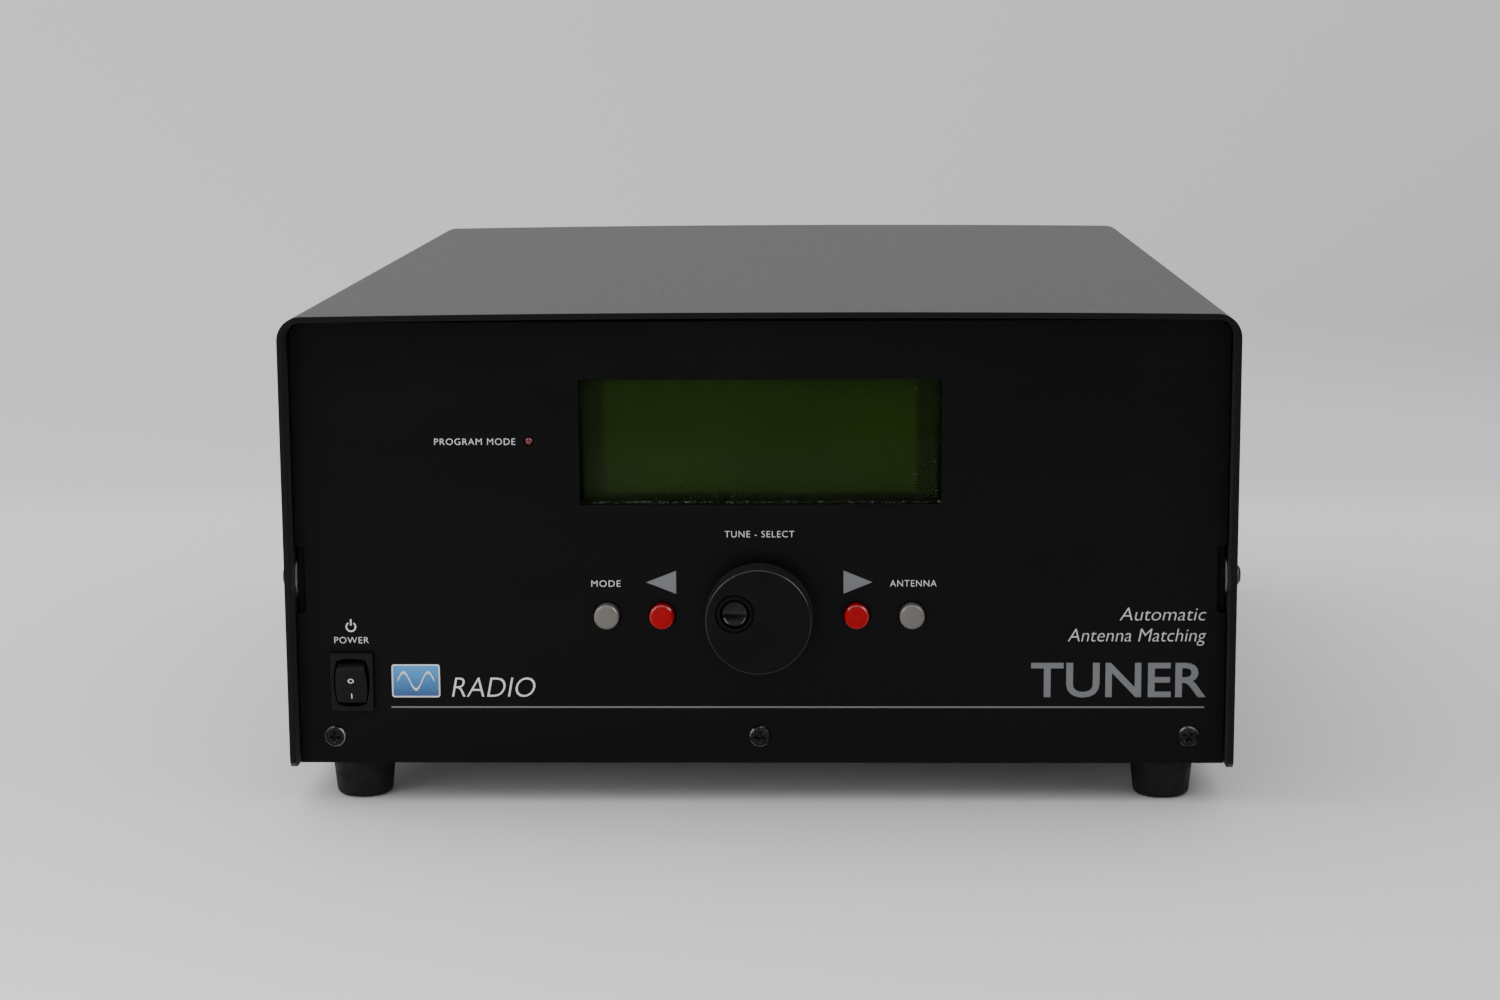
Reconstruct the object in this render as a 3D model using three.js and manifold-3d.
// Automatic HF antenna tuner: a desk-top metal case with a recessed front panel, a character display,
// a push-and-turn tuning knob, four push buttons and a rocker power switch. Inside, two stepper motors
// turn a roller inductor and a differential capacitor; the connectors are on the rear wall.
//
// Millimetres, +X right seen from the front, +Y towards the rear, +Z up. The origin is on the surface
// the feet stand on, at the centre of the whole outline. Every piece is first laid out in the case's
// own frame: X 0 in the middle, Y 0 at the cover's front edge and Z 0 just above its bottom edge.
import * as THREE from "three";
import { mergeVertices } from "three/addons/utils/BufferGeometryUtils.js";
import Module from "manifold-3d";

const wasm = await Module();
wasm.setup();

// ---------------------------------------------------------------- driving dimensions

const CASE = { width: 317.5, depth: 406.4, bottom: -1, height: 152.2, sheet: 2, bend: 8, crown: 1, corner: 4 };
const SEAM = 0.1; // air between two pieces that rest on each other
const HALF = CASE.width / 2;
const WING = HALF - CASE.sheet; // inner face of the cover's side
const LIGHT = 0.15; // radial clearance of a hole round a turning or sliding piece

const PANEL = { front: 8, thick: 3, half: WING - 0.35, top: 149.7, corner: 5.5 };
const PANEL_BACK = PANEL.front + PANEL.thick;
const NOTCH = { z: 62.5, tall: 23, deep: 3 };
const WINDOW = { x: 0.5, z: 109.1, wide: 120.8, tall: 42.2 };
const WINDOW_SEAT = { wide: 127.6, tall: 47.6 }; // the window's place in the chassis' front wall

const CHASSIS = { sheet: 1.6, half: WING - 0.95, floor: 1, top: 148.8, corner: 7, flange: 17, lip: 13 };
const WALL = PANEL_BACK + SEAM; // outer face of the chassis' front wall
const WALL_BACK = WALL + CHASSIS.sheet;
const REAR = CASE.depth - 3; // outer face of the chassis' rear wall
const REAR_INNER = REAR - CHASSIS.sheet;
const FLOOR_TOP = CHASSIS.floor + CHASSIS.sheet;

const FOOT = { x: 137, inset: 22.3, tall: 14.5, top: 11, bottom: 9.4, edge: 2.2, well: 4.8, wellDeep: 9 };
const SIDE_SCREW = { inset: 16, z: NOTCH.z, head: 4, tall: 3.1, shank: 1.9, long: 9 };
const WASHER = { radius: 8, bore: 2.2 };
const PANEL_SCREW = { x: 144.4, z: 8.6, head: 3.6, tall: 1.9, shank: 1.65, long: 9 };

const CONTROL_Z = 50.3; // height of the knob and the push buttons
const KNOB = { base: 18.5, face: 17.9, back: 7, front: -4.4, edge: 1, push: 0.8 };
const CUP = { x: -7.9, z: 2.8, radius: 6.6, deep: 4 };
const SHAFT = { radius: 3, front: 1.5, square: 4 };
const ENCODER = { front: 15.5, back: 23.9, bush: 4.4, bushFront: 9.5, cavity: 5.2 };
const BUTTON = { inner: 32.7, outer: 51.3, radius: 4.25, front: 4, hole: 4.55, travel: 1 };
const KEY_BOARD = { front: 24, half: 66, low: 36, high: 66, stem: 3.2 };
const SWITCH = { x: -138.1, z: 27.6, wide: 14.8, tall: 20.2, proud: 2, back: 26 };
const ROCKER = { z: 27.4, pivot: 9, radius: 7.45, face: 4.5, wide: 10.5, tilt: 13 };
const LED = { x: -76.7, z: 109.6, radius: 1.45 };

const AXIS = { x: 78, z: 72 }; // centre lines of the inductor (-x) and the capacitor (+x)
const MOTOR = { front: 62, back: 100, half: 21.15, chamfer: 4, boss: 11 };
const UPRIGHT = { motor: 100.2, bearing: 140, thick: 3, end: 305, endThick: 6 };
const COUPLING = { front: 106, back: 132, radius: 10 };
const DRIVE_SHAFT = { radius: 4, bore: 4.2, back: 312 };
const COIL = { start: 158, pitch: 8, turns: 16, inner: 24.4, outer: 28.4, ribbon: 2, form: 22 };
const ROLLER = { turn: 8.25, groove: 8, flange: 10, width: 5, slot: 2.8, gap: 0.3, rod: 3 };
const PLATES = { first: 161, pitch: 18, count: 8, thick: 1.6, rotor: 30, stator: 34, inner: 6, half: 32 };

const UHF = { flange: 12.7, thick: 1.6, thread: 7.9, long: 14, body: 6.2 };
const POST = { x: [43, 87], z: 105, base: 11, tip: 6.5, long: 15, stud: 2.5, out: 26 };
const GROUND = { x: 132, z: 24, stud: 3, out: 26.6, nut: 5, wing: 15 };
const JACK = { x: -58, z: 30 };
const PORT = { x: -18, z: 30 };

// The rearmost point is the ground stud's end and the foremost is the knob's face.
const REARMOST = REAR + GROUND.out;
const MIDDLE = (REARMOST + KNOB.front) / 2;

// ---------------------------------------------------------------- materials

function finish(color, roughness, metalness) {
  return new THREE.MeshStandardMaterial({ color, roughness, metalness });
}

const MATERIALS = {
  coverPaint: finish(0x1b1b1d, 0.6, 0.2),
  panelPaint: finish(0x101012, 0.45, 0.1),
  chassisPaint: finish(0x161617, 0.55, 0.2),
  rubber: finish(0x141414, 0.85, 0),
  blackPlastic: finish(0x17171a, 0.5, 0),
  blackScrew: finish(0x1c1b1a, 0.35, 0.9),
  zinc: finish(0xb9bcc0, 0.35, 1),
  nickel: finish(0xc4c2bb, 0.25, 1),
  greyCap: finish(0xa8a49c, 0.45, 0),
  redCap: finish(0xc8141c, 0.4, 0),
  redLens: finish(0x7a1012, 0.25, 0),
  clearLens: finish(0x20241c, 0.1, 0),
  displayGlass: finish(0x4d6a1c, 0.3, 0),
  board: finish(0x1d5a34, 0.5, 0),
  aluminium: finish(0xb4b6b8, 0.4, 1),
  motorBlack: finish(0x202022, 0.5, 0.4),
  silver: finish(0xd2d0c8, 0.25, 1),
  insulator: finish(0xe6e2d6, 0.5, 0),
  ferrite: finish(0x2c2c30, 0.7, 0.1),
  brass: finish(0xb8954a, 0.35, 1),
};

// ---------------------------------------------------------------- solids

// A closed three.js geometry as a manifold-3d solid with its faces pointing out.
function solid(geometry) {
  const bare = geometry.index ? geometry.toNonIndexed() : geometry.clone();
  for (const name of Object.keys(bare.attributes)) {
    if (name !== "position") bare.deleteAttribute(name);
  }
  const merged = mergeVertices(bare, 1e-4);
  const vertProperties = merged.attributes.position.array;
  const triVerts = triangles(merged.index.array);
  const made = new wasm.Manifold(new wasm.Mesh({ numProp: 3, vertProperties, triVerts }));
  if (made.volume() > 0) return made;
  const turned = new Uint32Array(triVerts).reverse();
  return new wasm.Manifold(new wasm.Mesh({ numProp: 3, vertProperties, triVerts: turned }));
}

// The index without the triangles that have no area, such as those on a lathe's axis.
function triangles(index) {
  const kept = [];
  for (let i = 0; i < index.length; i += 3) {
    const [a, b, c] = [index[i], index[i + 1], index[i + 2]];
    if (a !== b && b !== c && c !== a) kept.push(a, b, c);
  }
  return new Uint32Array(kept);
}

function geometryOf(made) {
  const { vertProperties, triVerts } = made.getMesh();
  const geometry = new THREE.BufferGeometry();
  geometry.setAttribute("position", new THREE.BufferAttribute(new Float32Array(vertProperties), 3));
  geometry.setIndex(new THREE.BufferAttribute(new Uint32Array(triVerts), 1));
  geometry.computeVertexNormals();
  return geometry;
}

function block([x0, x1], [y0, y1], [z0, z1]) {
  const box = new THREE.BoxGeometry(x1 - x0, y1 - y0, z1 - z0);
  return solid(box.translate((x0 + x1) / 2, (y0 + y1) / 2, (z0 + z1) / 2));
}

function span(middle, width) {
  return [middle - width / 2, middle + width / 2];
}

// Rods run along one axis; x, y and z that aren't the rod's own are its centre.
function rodY(radius, [y0, y1], x = 0, z = 0, sides = 20) {
  const rod = new THREE.CylinderGeometry(radius, radius, y1 - y0, sides);
  return solid(rod.translate(x, (y0 + y1) / 2, z));
}

function rodX(radius, [x0, x1], y, z, sides = 16) {
  const rod = new THREE.CylinderGeometry(radius, radius, x1 - x0, sides).rotateZ(-Math.PI / 2);
  return solid(rod.translate((x0 + x1) / 2, y, z));
}

function rodZ(radius, [z0, z1], x, y, sides = 16) {
  const rod = new THREE.CylinderGeometry(radius, radius, z1 - z0, sides).rotateX(Math.PI / 2);
  return solid(rod.translate(x, y, (z0 + z1) / 2));
}

// A body turned about the Y axis from [radius, y] points, both ends on the axis.
function turned(points, sides = 24) {
  const profile = points.map(([radius, y]) => new THREE.Vector2(radius, y));
  return solid(new THREE.LatheGeometry(profile, sides));
}

// A flat shape drawn in X and Z, standing from y0 to y1.
function plate(shape, [y0, y1], curveSegments = 5) {
  const options = { depth: y1 - y0, bevelEnabled: false, curveSegments };
  const geometry = new THREE.ExtrudeGeometry(shape, options).rotateX(Math.PI / 2);
  return solid(geometry.translate(0, y1, 0));
}

// A flat shape drawn in Y and Z, standing from x0 to x1.
function slab(shape, [x0, x1], curveSegments = 5) {
  const options = { depth: x1 - x0, bevelEnabled: false, curveSegments };
  const toYZ = new THREE.Matrix4().makeBasis(
    new THREE.Vector3(0, 1, 0),
    new THREE.Vector3(0, 0, 1),
    new THREE.Vector3(1, 0, 0),
  );
  const geometry = new THREE.ExtrudeGeometry(shape, options).applyMatrix4(toYZ);
  return solid(geometry.translate(x0, 0, 0));
}

function joined(...solids) {
  return solids.reduce((all, one) => all.add(one));
}

function cut(body, ...cutters) {
  return cutters.reduce((left, one) => left.subtract(one), body);
}

// An upright rectangle on the floor line z0 with its two top corners rounded.
function archShape(half, z0, top, radius) {
  const shape = new THREE.Shape();
  shape.moveTo(-half, z0);
  shape.lineTo(-half, top - radius);
  shape.absarc(-half + radius, top - radius, radius, Math.PI, Math.PI / 2, true);
  shape.absarc(half - radius, top - radius, radius, Math.PI / 2, 0, true);
  shape.lineTo(half, z0);
  shape.closePath();
  return shape;
}

// ---------------------------------------------------------------- the tree of named meshes

const caseGroup = new THREE.Group();

function piece(name, body, material, position = [0, 0, 0], rotation = [0, 0, 0]) {
  const mesh = new THREE.Mesh(geometryOf(body), MATERIALS[material]);
  mesh.name = name;
  mesh.position.set(...position);
  mesh.rotation.set(...rotation);
  caseGroup.add(mesh);
  return mesh;
}

// ---------------------------------------------------------------- case

// Section of the cover: a bent sheet over the top and both sides, with a slightly crowned top.
function coverSection() {
  const { bottom, bend, sheet, height, crown } = CASE;
  const flat = HALF - bend;
  const section = new THREE.Shape();
  section.moveTo(-HALF, bottom);
  section.lineTo(-HALF, height - bend);
  section.absarc(-flat, height - bend, bend, Math.PI, Math.PI / 2, true);
  section.quadraticCurveTo(0, height + 2 * crown, flat, height);
  section.absarc(flat, height - bend, bend, Math.PI / 2, 0, true);
  section.lineTo(HALF, bottom);
  section.lineTo(WING, bottom);
  section.lineTo(WING, height - bend);
  section.absarc(flat, height - bend, bend - sheet, 0, Math.PI / 2, false);
  section.quadraticCurveTo(0, height - sheet + 2 * crown, -flat, height - sheet);
  section.absarc(-flat, height - bend, bend - sheet, Math.PI / 2, Math.PI, false);
  section.lineTo(-WING, bottom);
  section.closePath();
  return section;
}

// What is left outside a rounded bottom corner, drawn for the front and mirrored for the rear.
function cornerWaste(edge, inward) {
  const radius = CASE.corner;
  const shoulder = CASE.bottom + radius;
  const below = CASE.bottom - 1;
  const waste = new THREE.Shape();
  waste.moveTo(edge - inward, below);
  waste.lineTo(edge - inward, shoulder);
  waste.lineTo(edge, shoulder);
  const centre = edge + inward * radius;
  const start = inward > 0 ? Math.PI : 0;
  waste.absarc(centre, shoulder, radius, start, 1.5 * Math.PI, inward < 0);
  waste.lineTo(centre, below);
  waste.closePath();
  return slab(waste, [-HALF - 1, HALF + 1], 4);
}

const SCREW_ROWS = { front: SIDE_SCREW.inset, rear: CASE.depth - SIDE_SCREW.inset };

function makeCover() {
  const holes = Object.values(SCREW_ROWS).map((y) =>
    rodX(SIDE_SCREW.shank + 0.35, [-HALF - 1, HALF + 1], y, SIDE_SCREW.z, 10),
  );
  const bent = plate(coverSection(), [0, CASE.depth], 4);
  piece("cover", cut(bent, cornerWaste(0, 1), cornerWaste(CASE.depth, -1), ...holes), "coverPaint");
}

function buttonCentres() {
  return {
    mode: -BUTTON.outer,
    step_left: -BUTTON.inner,
    step_right: BUTTON.inner,
    antenna: BUTTON.outer,
  };
}

const SCREW_CENTRES = { left: -PANEL_SCREW.x, centre: 0, right: PANEL_SCREW.x };

// The openings that the front panel and the chassis' front wall share.
function frontOpenings(y, window, buttonRadius, bushRadius, screwRadius) {
  const buttons = Object.values(buttonCentres()).map((x) => rodY(buttonRadius, y, x, CONTROL_Z, 14));
  const screws = Object.values(SCREW_CENTRES).map((x) => rodY(screwRadius, y, x, PANEL_SCREW.z, 8));
  return [
    block(span(WINDOW.x, window.wide), y, span(WINDOW.z, window.tall)),
    block(span(SWITCH.x, 13), y, span(SWITCH.z, 18.8)),
    rodY(bushRadius, y, 0, CONTROL_Z, 16),
    rodY(LED.radius + LIGHT, y, LED.x, LED.z, 10),
    ...buttons,
    ...screws,
  ];
}

function makeFrontPanel() {
  const y = [PANEL.front, PANEL_BACK];
  const through = [y[0] - 1, y[1] + 1];
  const body = plate(archShape(PANEL.half, CASE.bottom, PANEL.top, PANEL.corner), y, 4);
  const notches = [-1, 1].map((side) => {
    const deep = [side * (PANEL.half - NOTCH.deep), side * (PANEL.half + 1)].sort((a, b) => a - b);
    const low = NOTCH.z - NOTCH.tall / 2;
    const slot = block(deep, through, [low + NOTCH.deep, low + NOTCH.tall - NOTCH.deep]);
    const ends = [low + NOTCH.deep, low + NOTCH.tall - NOTCH.deep].map((z) =>
      rodY(NOTCH.deep, through, side * PANEL.half, z, 16),
    );
    return joined(slot, ...ends);
  });
  const openings = frontOpenings(through, WINDOW, BUTTON.hole, 4.8, 1.95);
  piece("front_panel", cut(body, ...notches, ...openings), "panelPaint");
}

function makeChassis() {
  const { sheet, half, floor, top, corner, flange, lip } = CHASSIS;
  const parts = [
    block([-half, half], [WALL, REAR], [floor, FLOOR_TOP]),
    plate(archShape(half, floor, top, corner), [WALL, WALL_BACK], 4),
    plate(archShape(half, floor, top, corner), [REAR_INNER, REAR], 4),
  ];
  for (const side of [-1, 1]) {
    const x = [side * (half - sheet), side * half].sort((a, b) => a - b);
    parts.push(block(x, [WALL, WALL + flange], [floor, top - corner]));
    parts.push(block(x, [REAR - flange, REAR], [floor, top - corner]));
    parts.push(block(x, [WALL, REAR], [floor, floor + lip]));
  }
  const wallCut = [WALL - 1, WALL_BACK + 1];
  const rearCut = [REAR_INNER - 1, REAR + 1];
  const holes = frontOpenings(wallCut, WINDOW_SEAT, BUTTON.hole, 4.6, PANEL_SCREW.shank + 2 * LIGHT);
  for (const y of Object.values(SCREW_ROWS)) {
    holes.push(rodX(SIDE_SCREW.shank + 2 * LIGHT, [-half - 1, half + 1], y, SIDE_SCREW.z, 8));
  }
  for (const [x, y] of Object.values(footCentres())) holes.push(rodZ(2.1, [0, 4], x, y, 8));
  for (const [x, z] of Object.values(uhfCentres())) holes.push(rodY(UHF.body + 0.3, rearCut, x, z, 16));
  for (const x of POST.x) holes.push(rodY(5.3, rearCut, x, POST.z, 12));
  holes.push(rodY(GROUND.stud + 0.2, rearCut, GROUND.x, GROUND.z, 10));
  holes.push(rodY(4.5, rearCut, JACK.x, JACK.z, 10));
  holes.push(block(span(PORT.x, 19), rearCut, span(PORT.z, 10.4)));
  piece("chassis", cut(joined(...parts), ...holes), "chassisPaint");
}

function footCentres() {
  return {
    front_left: [-FOOT.x, FOOT.inset],
    front_right: [FOOT.x, FOOT.inset],
    rear_left: [-FOOT.x, CASE.depth - FOOT.inset],
    rear_right: [FOOT.x, CASE.depth - FOOT.inset],
  };
}

// A tapered rubber foot, turned along its own height, with a well for its screw.
function makeFeet() {
  const top = CHASSIS.floor - SEAM;
  const well = -FOOT.tall + FOOT.wellDeep;
  const profile = [
    [0, top],
    [FOOT.top, top],
    [FOOT.bottom, -FOOT.tall + FOOT.edge],
    [FOOT.bottom - 0.7, -FOOT.tall + 0.6],
    [FOOT.bottom - FOOT.edge, -FOOT.tall],
    [FOOT.well, -FOOT.tall],
    [FOOT.well, well],
    [0, well],
  ];
  const foot = turned(profile, 18);
  for (const [place, [x, y]] of Object.entries(footCentres())) {
    piece(`foot_${place}`, foot, "rubber", [x, y, 0], [Math.PI / 2, 0, 0]);
  }
}

// A pan-head screw along +Y: its head's underside is at y 0 and a cross recess is cut in the head.
function panScrew({ head, tall, shank, long }, sides = 12) {
  const body = turned(
    [
      [0, -tall],
      [head * 0.55, -tall * 0.96],
      [head * 0.86, -tall * 0.68],
      [head, -tall * 0.2],
      [head, 0],
      [shank, 0],
      [shank, long],
      [0, long],
    ],
    sides,
  );
  const arm = head * 0.5;
  const slot = head * 0.12;
  const depth = [-tall - 1, -tall * 0.35];
  return cut(body, block([-arm, arm], depth, [-slot, slot]), block([-slot, slot], depth, [-arm, arm]));
}

function makeScrews() {
  const panelScrew = panScrew(PANEL_SCREW);
  for (const [place, x] of Object.entries(SCREW_CENTRES)) {
    piece(`panel_screw_${place}`, panelScrew, "blackScrew", [x, PANEL.front - SEAM, PANEL_SCREW.z]);
  }
  const sideScrew = panScrew(SIDE_SCREW);
  for (const [row, y] of Object.entries(SCREW_ROWS)) {
    for (const [name, side] of [["left", -1], ["right", 1]]) {
      const seat = [side * (HALF + SEAM), y, SIDE_SCREW.z];
      piece(`cover_screw_${row}_${name}`, sideScrew, "blackScrew", seat, [0, 0, side * Math.PI / 2]);
    }
  }
  for (const [name, side] of [["left", -1], ["right", 1]]) {
    const x = [side * (CHASSIS.half + 0.05), side * (WING - 0.1)].sort((a, b) => a - b);
    const ring = rodX(WASHER.radius, x, SIDE_SCREW.inset, SIDE_SCREW.z, 24);
    const bore = rodX(WASHER.bore, [x[0] - 1, x[1] + 1], SIDE_SCREW.inset, SIDE_SCREW.z, 10);
    piece(`side_washer_${name}`, cut(ring, bore), "zinc");
  }
}

// ---------------------------------------------------------------- front controls

function makeKnob() {
  const { base, face, back, front, edge } = KNOB;
  const body = turned(
    [
      [0, front],
      [face - edge, front],
      [face - edge * 0.3, front + edge * 0.3],
      [face, front + edge],
      [base, back - 1],
      [base - 0.4, back],
      [0, back],
    ],
    30,
  );
  const bore = rodY(SHAFT.radius + 0.05, [SHAFT.front - SEAM, back + 1], 0, 0, 20);
  const pocket = rodY(CUP.radius, [front - 1, front + CUP.deep], CUP.x, CUP.z, 20);
  piece("tuning_knob", cut(body, bore, pocket), "blackPlastic", [0, 0, CONTROL_Z]);

  const cupBack = front + CUP.deep - 0.2;
  const rim = CUP.radius - 0.25;
  const cup = turned(
    [
      [0, cupBack - 0.9],
      [rim * 0.4, cupBack - 1.15],
      [rim * 0.68, cupBack - 2.2],
      [rim * 0.8, front],
      [rim, front],
      [rim, cupBack],
      [0, cupBack],
    ],
    20,
  );
  piece("finger_cup", cup, "blackPlastic", [CUP.x, 0, CONTROL_Z + CUP.z]);
}

function makeEncoder() {
  const { front, back, bush, bushFront, cavity } = ENCODER;
  const body = joined(
    block([-6.7, 6.7], [front, back], [-6.2, 6.2]),
    rodY(bush, [bushFront, front + 1], 0, 0, 20),
  );
  const hollow = joined(
    rodY(SHAFT.radius + LIGHT, [bushFront - 1, front + 3], 0, 0, 20),
    rodY(cavity, [front + 2, back + 1], 0, 0, 16),
  );
  piece("encoder_body", cut(body, hollow), "nickel", [0, 0, CONTROL_Z]);

  const half = SHAFT.square / 2;
  const socket = half + LIGHT;
  const disc = rodY(cavity - 0.3, [front + 2.9, front + 4.9], 0, 0, 16);
  const hole = block([-socket, socket], [front, back], [-socket, socket]);
  piece("encoder_rotor", cut(disc, hole), "blackPlastic", [0, 0, CONTROL_Z]);

  const shaft = joined(
    rodY(SHAFT.radius, [SHAFT.front, front + 1.9], 0, 0, 20),
    block([-half, half], [front + 1, back - 2], [-half, half]),
  );
  piece("encoder_shaft", shaft, "nickel", [0, 0, CONTROL_Z]);
}

function makeButtons() {
  const flangeFront = WALL_BACK + 0.2;
  const cap = turned(
    [
      [0, BUTTON.front],
      [BUTTON.radius - 0.5, BUTTON.front],
      [BUTTON.radius, BUTTON.front + 0.5],
      [BUTTON.radius, flangeFront],
      [5.5, flangeFront],
      [5.5, flangeFront + 1],
      [KEY_BOARD.stem, flangeFront + 1],
      [KEY_BOARD.stem, KEY_BOARD.front - 3],
      [0, KEY_BOARD.front - 3],
    ],
    14,
  );
  const colours = { mode: "greyCap", step_left: "redCap", step_right: "redCap", antenna: "greyCap" };
  for (const [name, x] of Object.entries(buttonCentres())) {
    piece(`button_${name}`, cap, colours[name], [x, 0, CONTROL_Z]);
  }
}

// The key board carries the four key switches, whose wells take the caps' stems.
function makeKeyBoard() {
  const { front, half, low, high, stem } = KEY_BOARD;
  const parts = [block([-half, half], [front, front + 1.6], [low, high])];
  const wells = [];
  for (const x of Object.values(buttonCentres())) {
    parts.push(block(span(x, 12), [front - 3.8, front + 0.1], span(CONTROL_Z, 12)));
    wells.push(rodY(stem + 0.25, [front - 5, front - 0.6], x, CONTROL_Z, 12));
  }
  for (const x of [-half + 4, half - 4]) {
    for (const z of [low + 4, high - 4]) {
      parts.push(rodY(2.5, [WALL_BACK + SEAM, front + 0.1], x, z, 6));
    }
  }
  piece("key_board", cut(joined(...parts), ...wells), "board");
}

function makePowerSwitch() {
  const { x, z, wide, tall, proud, back } = SWITCH;
  const front = PANEL.front - proud;
  const body = joined(
    block(span(x, wide), [front, PANEL.front - SEAM], span(z, tall)),
    block(span(x, 12.6), [front + 1, back], span(z, 18.4)),
    block(span(x, 0.8), [back - 1, back + 8], span(z - 5, 4.8)),
    block(span(x, 0.8), [back - 1, back + 8], span(z + 5, 4.8)),
  );
  const well = block(span(x, 10.8), [front - 1, ROCKER.pivot + 8.4], span(ROCKER.z, 15.3));
  piece("power_switch_body", cut(body, well), "blackPlastic");

  const { radius, face, tilt } = ROCKER;
  const start = Math.acos(face / radius);
  const section = new THREE.Shape();
  section.moveTo(-radius * Math.cos(start), radius * Math.sin(start));
  section.absarc(0, 0, radius, Math.PI - start, 0.32 * Math.PI, true);
  section.lineTo(radius * Math.cos(0.32 * Math.PI), -radius * Math.sin(0.32 * Math.PI));
  section.absarc(0, 0, radius, -0.32 * Math.PI, start - Math.PI, true);
  section.closePath();
  const rocker = slab(section, span(0, ROCKER.wide), 6);
  const seat = [x, ROCKER.pivot, ROCKER.z];
  piece("power_rocker", rocker, "blackPlastic", seat, [THREE.MathUtils.degToRad(tilt), 0, 0]);
}

function makeDisplay() {
  const { x, z } = WINDOW;
  piece("display_window", block(span(x, 127), [WALL, WALL + 2], span(z, 47)), "clearLens");

  const frame = cut(
    block(span(x, 137), [14, 22.5], span(z, 56)),
    block(span(x, 135.4), [14.8, 23], span(z, 54.4)),
    block(span(x, 122), [13, 15], span(z, 44)),
  );
  piece("lcd_frame", frame, "motorBlack");
  piece("lcd_glass", block(span(x, 132), [15, 18.4], span(z, 51)), "displayGlass");

  const parts = [block(span(x, 146), [22.8, 24.4], span(z, 62.5))];
  for (const side of [-1, 1]) {
    for (const up of [-1, 1]) {
      const [postX, postZ] = [x + side * 71, z + up * 29];
      parts.push(rodY(2, [WALL_BACK + SEAM, 23], postX, postZ, 6));
    }
  }
  piece("lcd_board", joined(...parts), "board");

  const led = turned(
    [
      [0, PANEL.front - 0.3],
      [LED.radius * 0.75, PANEL.front],
      [LED.radius, PANEL.front + 0.8],
      [LED.radius, WALL_BACK + 0.3],
      [LED.radius + 0.4, WALL_BACK + 0.3],
      [LED.radius + 0.4, WALL_BACK + 1.3],
      [0, WALL_BACK + 1.3],
    ],
    12,
  );
  piece("program_led", led, "redLens", [LED.x, 0, LED.z]);
}

// ---------------------------------------------------------------- tuning network

// A square with its four corners cut off.
function chamferedSquare(half, chamfer) {
  const flat = half - chamfer;
  const corners = [
    [half, -flat],
    [half, flat],
    [flat, half],
    [-flat, half],
    [-half, flat],
    [-half, -flat],
    [-flat, -half],
    [flat, -half],
  ];
  return new THREE.Shape(corners.map(([x, z]) => new THREE.Vector2(x, z)));
}

// A stepper motor with chamfered corners and a round boss; its shaft is in the coupling.
function makeMotor(name, x) {
  const { front, back, half, chamfer, boss } = MOTOR;
  const can = plate(chamferedSquare(half, chamfer), [front, back]);
  const body = joined(can, rodY(boss, [back - 1, back + 2], 0, 0, 20));
  piece(name, body, "motorBlack", [x, 0, AXIS.z]);
}

// A bent bracket with one upright for the motor and one for the driven shaft's front bearing.
function makeBracket(name, x, half, top, extraBores) {
  const { motor, bearing, thick } = UPRIGHT;
  const low = FLOOR_TOP + SEAM;
  const body = joined(
    block([x - half, x + half], [motor, bearing + thick], [low, low + thick]),
    block([x - half, x + half], [motor, motor + thick], [low, AXIS.z + 26]),
    block([x - half, x + half], [bearing, bearing + thick], [low, top]),
  );
  const bores = [
    rodY(MOTOR.boss + 0.3, [motor - 1, motor + thick + 1], x, AXIS.z, 20),
    rodY(DRIVE_SHAFT.bore, [bearing - 1, bearing + thick + 1], x, AXIS.z, 16),
  ];
  piece(name, cut(body, ...bores, ...extraBores), "aluminium");
}

function makeEndPlate(name, x, half, top, extraBores) {
  const y = [UPRIGHT.end, UPRIGHT.end + UPRIGHT.endThick];
  const body = block([x - half, x + half], y, [FLOOR_TOP + SEAM, top]);
  const bore = rodY(DRIVE_SHAFT.bore, [y[0] - 1, y[1] + 1], x, AXIS.z, 16);
  piece(name, cut(body, bore, ...extraBores), "insulator");
}

function makeCoupling(name, x) {
  const { front, back, radius } = COUPLING;
  const body = joined(rodY(radius, [front, back], 0, 0, 16), rodY(2.5, [MOTOR.back + 2.3, front + 1], 0, 0, 10));
  piece(name, body, "insulator", [x, 0, AXIS.z]);
}

// Edge-wound ribbon: a rectangular section carried round the form, one polygon ring per step.
function helixGeometry({ start, pitch, turns, inner, outer, ribbon }, stepsPerTurn = 8) {
  const steps = turns * stepsPerTurn;
  const positions = [];
  const index = [];
  for (let i = 0; i <= steps; i += 1) {
    const turn = i / stepsPerTurn;
    const angle = 2 * Math.PI * turn;
    const y = start + pitch * turn;
    for (const [radius, dy] of [[inner, -1], [outer, -1], [outer, 1], [inner, 1]]) {
      positions.push(radius * Math.cos(angle), y + (dy * ribbon) / 2, radius * Math.sin(angle));
    }
  }
  for (let i = 0; i < steps; i += 1) {
    for (let k = 0; k < 4; k += 1) {
      const [a, b] = [4 * i + k, 4 * i + ((k + 1) % 4)];
      index.push(a, b, a + 4, b, b + 4, a + 4);
    }
  }
  const last = 4 * steps;
  index.push(0, 2, 1, 0, 3, 2, last, last + 1, last + 2, last, last + 2, last + 3);
  const geometry = new THREE.BufferGeometry();
  geometry.setAttribute("position", new THREE.Float32BufferAttribute(positions, 3));
  geometry.setIndex(index);
  return geometry;
}

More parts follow.
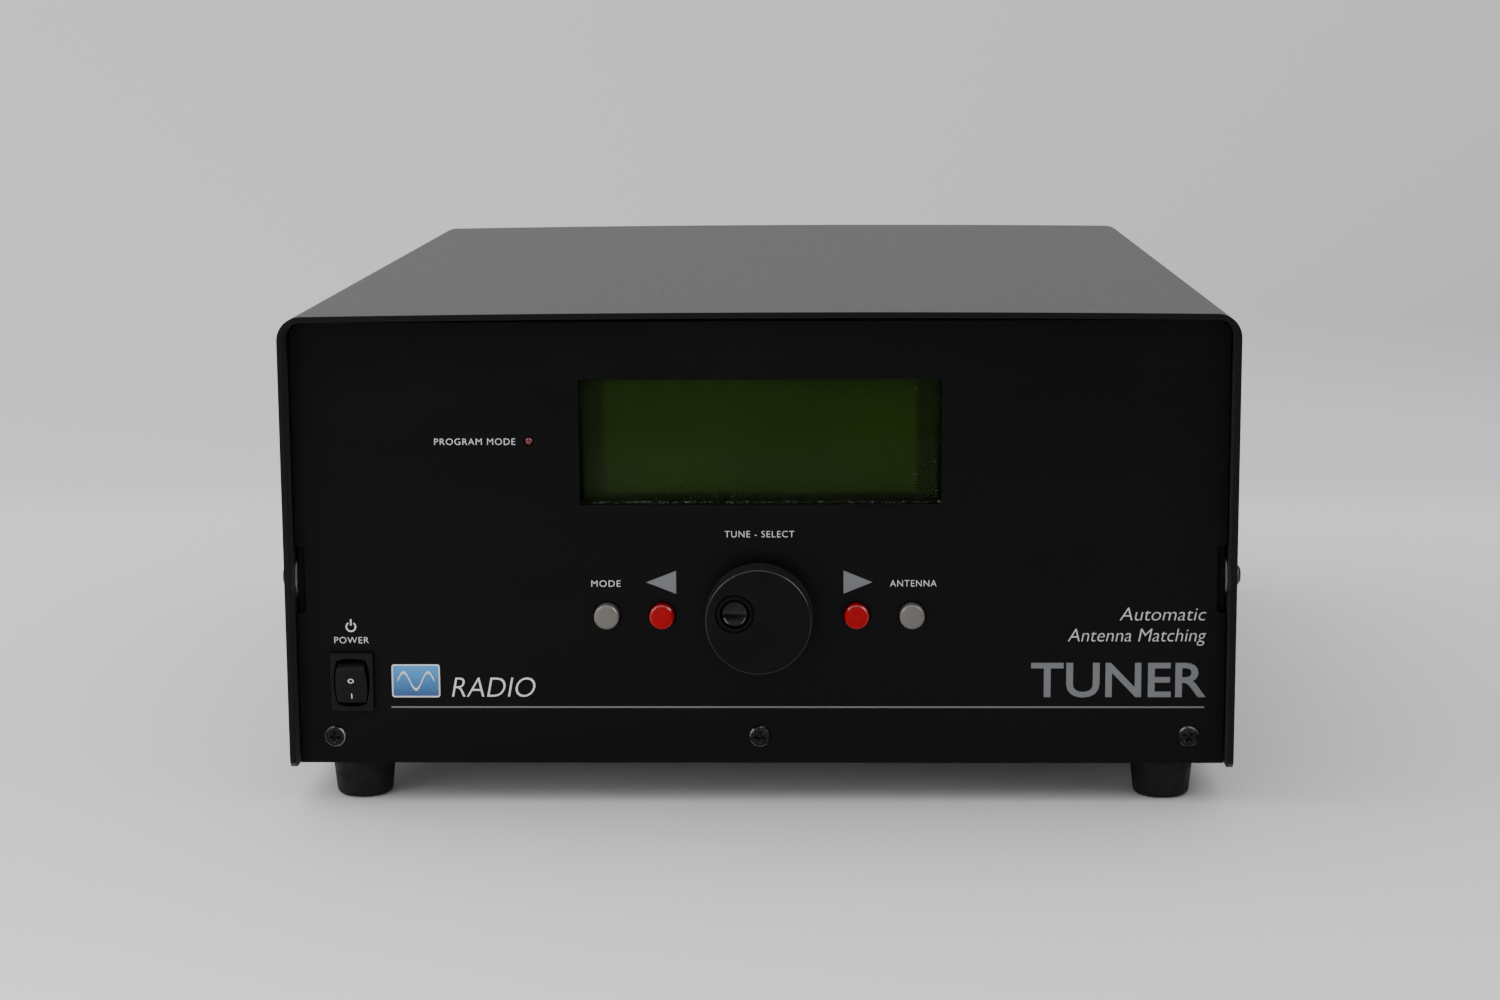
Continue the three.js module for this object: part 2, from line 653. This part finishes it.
function makeInductor() {
  const x = -AXIS.x;
  const wheelZ = COIL.outer + ROLLER.gap + ROLLER.groove;
  const rodBore = (y) => rodY(ROLLER.rod + 0.15, y, x, AXIS.z + wheelZ, 16);
  const top = AXIS.z + wheelZ + 8;
  const bearing = [UPRIGHT.bearing - 1, UPRIGHT.bearing + UPRIGHT.thick + 1];
  makeBracket("inductor_bracket", x, 32, top, [rodBore(bearing)]);
  makeEndPlate("inductor_end_plate", x, 32, top, [rodBore([UPRIGHT.end - 1, UPRIGHT.end + 7])]);
  makeMotor("inductor_motor", x);
  makeCoupling("inductor_coupling", x);

  const coilEnd = COIL.start + COIL.pitch * COIL.turns;
  const form = joined(
    rodY(DRIVE_SHAFT.radius, [COUPLING.back + SEAM, DRIVE_SHAFT.back], 0, 0, 12),
    rodY(COIL.form, [COIL.start - 6, coilEnd + 6], 0, 0, 16),
    rodY(COIL.outer + 2.6, [COIL.start - 8, COIL.start - 5], 0, 0, 20),
    rodY(COIL.outer + 2.6, [coilEnd + 5, coilEnd + 8], 0, 0, 20),
  );
  piece("coil_form", form, "insulator", [x, 0, AXIS.z]);
  piece("coil_winding", solid(helixGeometry(COIL)), "silver", [x, 0, AXIS.z]);

  const wheelY = COIL.start + COIL.pitch * ROLLER.turn;
  const { groove, flange, width, slot, rod } = ROLLER;
  const wheel = cut(
    turned(
      [
        [0, -width / 2],
        [flange, -width / 2],
        [flange, -slot / 2],
        [groove, -slot / 2],
        [groove, slot / 2],
        [flange, slot / 2],
        [flange, width / 2],
        [0, width / 2],
      ],
      20,
    ),
    rodY(rod + 0.15, [-width, width], 0, 0, 16),
  );
  piece("roller_wheel", wheel, "brass", [x, wheelY, AXIS.z + wheelZ]);
  const rodSpan = [UPRIGHT.bearing, UPRIGHT.end + UPRIGHT.endThick];
  piece("roller_rod", rodY(rod, rodSpan, 0, 0, 16), "silver", [x, 0, AXIS.z + wheelZ]);
}

function makeCapacitor() {
  const x = AXIS.x;
  const top = AXIS.z + 40;
  makeBracket("capacitor_bracket", x, 40, top, []);
  makeEndPlate("capacitor_end_plate", x, 40, top, []);
  makeMotor("capacitor_motor", x);
  makeCoupling("capacitor_coupling", x);

  const { first, pitch, count, thick, rotor, stator, inner, half } = PLATES;
  const fan = new THREE.Shape();
  fan.moveTo(rotor, 0);
  fan.absarc(0, 0, rotor, 0, Math.PI, false);
  fan.closePath();
  const blades = [];
  for (let k = 0; k < count; k += 1) {
    blades.push(plate(fan, span(first + pitch * k, thick), 6));
  }
  const shaft = rodY(DRIVE_SHAFT.radius, [COUPLING.back + SEAM, DRIVE_SHAFT.back], 0, 0, 12);
  piece("capacitor_rotor", joined(shaft, ...blades), "aluminium", [x, 0, AXIS.z]);

  const rodSpan = [UPRIGHT.bearing + UPRIGHT.thick + SEAM, UPRIGHT.end - SEAM];
  for (const [name, side] of [["left", -1], ["right", 1]]) {
    const reach = [side * inner, side * stator].sort((a, b) => a - b);
    const parts = [-25, 25].map((z) => rodY(2, rodSpan, side * (stator - 1.8), z, 6));
    for (let k = 0; k < count - 1; k += 1) {
      parts.push(block(reach, span(first + pitch * (k + 0.5), thick), [-half, half]));
    }
    piece(`capacitor_stator_${name}`, joined(...parts), "aluminium", [x, 0, AXIS.z]);
  }
}

// ---------------------------------------------------------------- boards and rear connectors

// A board on four posts, with blocks for its larger components: [x, y, wide, deep, tall].
function makeBoard(name, xSpan, ySpan, z, components) {
  const parts = [block(xSpan, ySpan, [z, z + 1.6])];
  for (const x of [xSpan[0] + 5, xSpan[1] - 5]) {
    for (const y of [ySpan[0] + 5, ySpan[1] - 5]) {
      parts.push(rodZ(3, [FLOOR_TOP + SEAM, z + 0.1], x, y, 6));
    }
  }
  for (const [x, y, wide, deep, tall] of components) {
    parts.push(block(span(x, wide), span(y, deep), [z + 1.5, z + 1.6 + tall]));
  }
  piece(name, joined(...parts), "board");
}

function makeBoards() {
  makeBoard("control_board", [-62, 62], [38, 98], 10, [
    [-10, 66, 18, 18, 2.5],
    [30, 62, 30, 14, 3],
    [-42, 58, 16, 22, 12],
    [44, 84, 24, 10, 9],
  ]);
  const relays = [30, 54, 78, 102].map((x) => [x + 8, 350, 17, 30, 16]);
  makeBoard("relay_board", [22, 126], [326, 386], 8, relays);

  const core = cut(rodZ(30, [16, 36], 0, 0, 20), rodZ(18, [10, 40], 0, 0, 20));
  const holder = joined(
    rodZ(4, [FLOOR_TOP + SEAM, 40], 0, 0, 10),
    rodZ(22, [14, 16.5], 0, 0, 16),
    block([-22, 22], [-4, 4], [35.5, 38]),
  );
  piece("balun_transformer", joined(core, holder), "ferrite", [-78, 352, 0]);
}

function uhfCentres() {
  return { input: [-110, 42], antenna_1: [40, 42], antenna_2: [90, 42] };
}

// A square-flange coaxial socket: threaded barrel outside, insulated solder pin inside.
function makeUhfSockets() {
  const { flange, thick, thread, long, body } = UHF;
  const seat = SEAM;
  const face = seat + thick + long;
  const made = cut(
    joined(
      block([-flange, flange], [seat, seat + thick], [-flange, flange]),
      rodY(thread, [seat + 0.5, face], 0, 0, 20),
      rodY(body, [-7, seat + 0.5], 0, 0, 12),
      rodY(1.8, [-15, -6], 0, 0, 6),
    ),
    cut(rodY(5.8, [face - 5, face + 1], 0, 0, 20), rodY(2.9, [face - 6, face + 2], 0, 0, 10)),
    rodY(1.95, [face - 10, face + 1], 0, 0, 10),
  );
  for (const [name, [x, z]] of Object.entries(uhfCentres())) {
    piece(`coax_socket_${name}`, made, "nickel", [x, REAR, z]);
  }
}

function makeRearTerminals() {
  const post = turned(
    [
      [0, -12],
      [POST.stud, -12],
      [POST.stud, -7],
      [5, -7],
      [5, SEAM],
      [POST.base, SEAM],
      [POST.base - 0.5, 4],
      [POST.tip, POST.long],
      [POST.stud, POST.long],
      [POST.stud, POST.out],
      [0, POST.out],
    ],
    16,
  );
  POST.x.forEach((x, i) => piece(`antenna_post_${i + 1}`, post, "insulator", [x, REAR, POST.z]));

  const { stud, out, nut, wing } = GROUND;
  const bolt = joined(rodY(stud, [-12, out], 0, 0, 12), rodY(6, [SEAM, nut], 0, 0, 6), rodY(6, [-7, -1.8], 0, 0, 6));
  piece("ground_stud", bolt, "nickel", [GROUND.x, REAR, GROUND.z]);
  const blade = new THREE.Shape();
  blade.moveTo(4, 0);
  blade.lineTo(4, 3.5);
  blade.lineTo(8, 3.5);
  blade.quadraticCurveTo(wing, 1, wing, -5);
  blade.quadraticCurveTo(wing, -11, 10, -11);
  blade.quadraticCurveTo(7, -11, 4, -6);
  blade.closePath();
  const wings = [0, Math.PI].map((turn) => {
    const geometry = new THREE.ExtrudeGeometry(blade, { depth: 2.4, bevelEnabled: false, curveSegments: 4 });
    return solid(geometry.translate(0, 0, -1.2).rotateX(Math.PI).rotateY(turn));
  });
  const hub = rodY(5.2, [-3.5, 6], 0, 0, 12);
  const bore = rodY(stud + LIGHT, [-20, 20], 0, 0, 12);
  const nutBody = cut(joined(hub, ...wings), bore);
  piece("wing_nut", nutBody, "nickel", [GROUND.x, REAR + nut + 4, GROUND.z], [0, -Math.PI / 5, 0]);

  const jack = cut(
    joined(rodY(6.2, [SEAM, 2.2], 0, 0, 6), rodY(4, [-10, 3], 0, 0, 14)),
    cut(rodY(2.8, [-7, 4], 0, 0, 14), rodY(1, [-8, 5], 0, 0, 6)),
  );
  piece("dc_jack", jack, "nickel", [JACK.x, REAR, JACK.z]);
  const port = joined(
    block([-15.4, 15.4], [SEAM, 1], [-6.2, 6.2]),
    block([-8.5, 8.5], [0.9, 6.5], [-4.2, 4.2]),
    block([-9.2, 9.2], [-9, 0.2], [-5, 5]),
  );
  piece("data_port", port, "nickel", [PORT.x, REAR, PORT.z]);
}

// ---------------------------------------------------------------- assembly

makeCover();
makeFrontPanel();
makeChassis();
makeFeet();
makeScrews();
makeKnob();
makeEncoder();
makeButtons();
makeKeyBoard();
makePowerSwitch();
makeDisplay();
makeInductor();
makeCapacitor();
makeBoards();
makeUhfSockets();
makeRearTerminals();

caseGroup.position.set(0, -MIDDLE, FOOT.tall);
const antennaTuner = new THREE.Group();
antennaTuner.add(caseGroup);

export default antennaTuner;
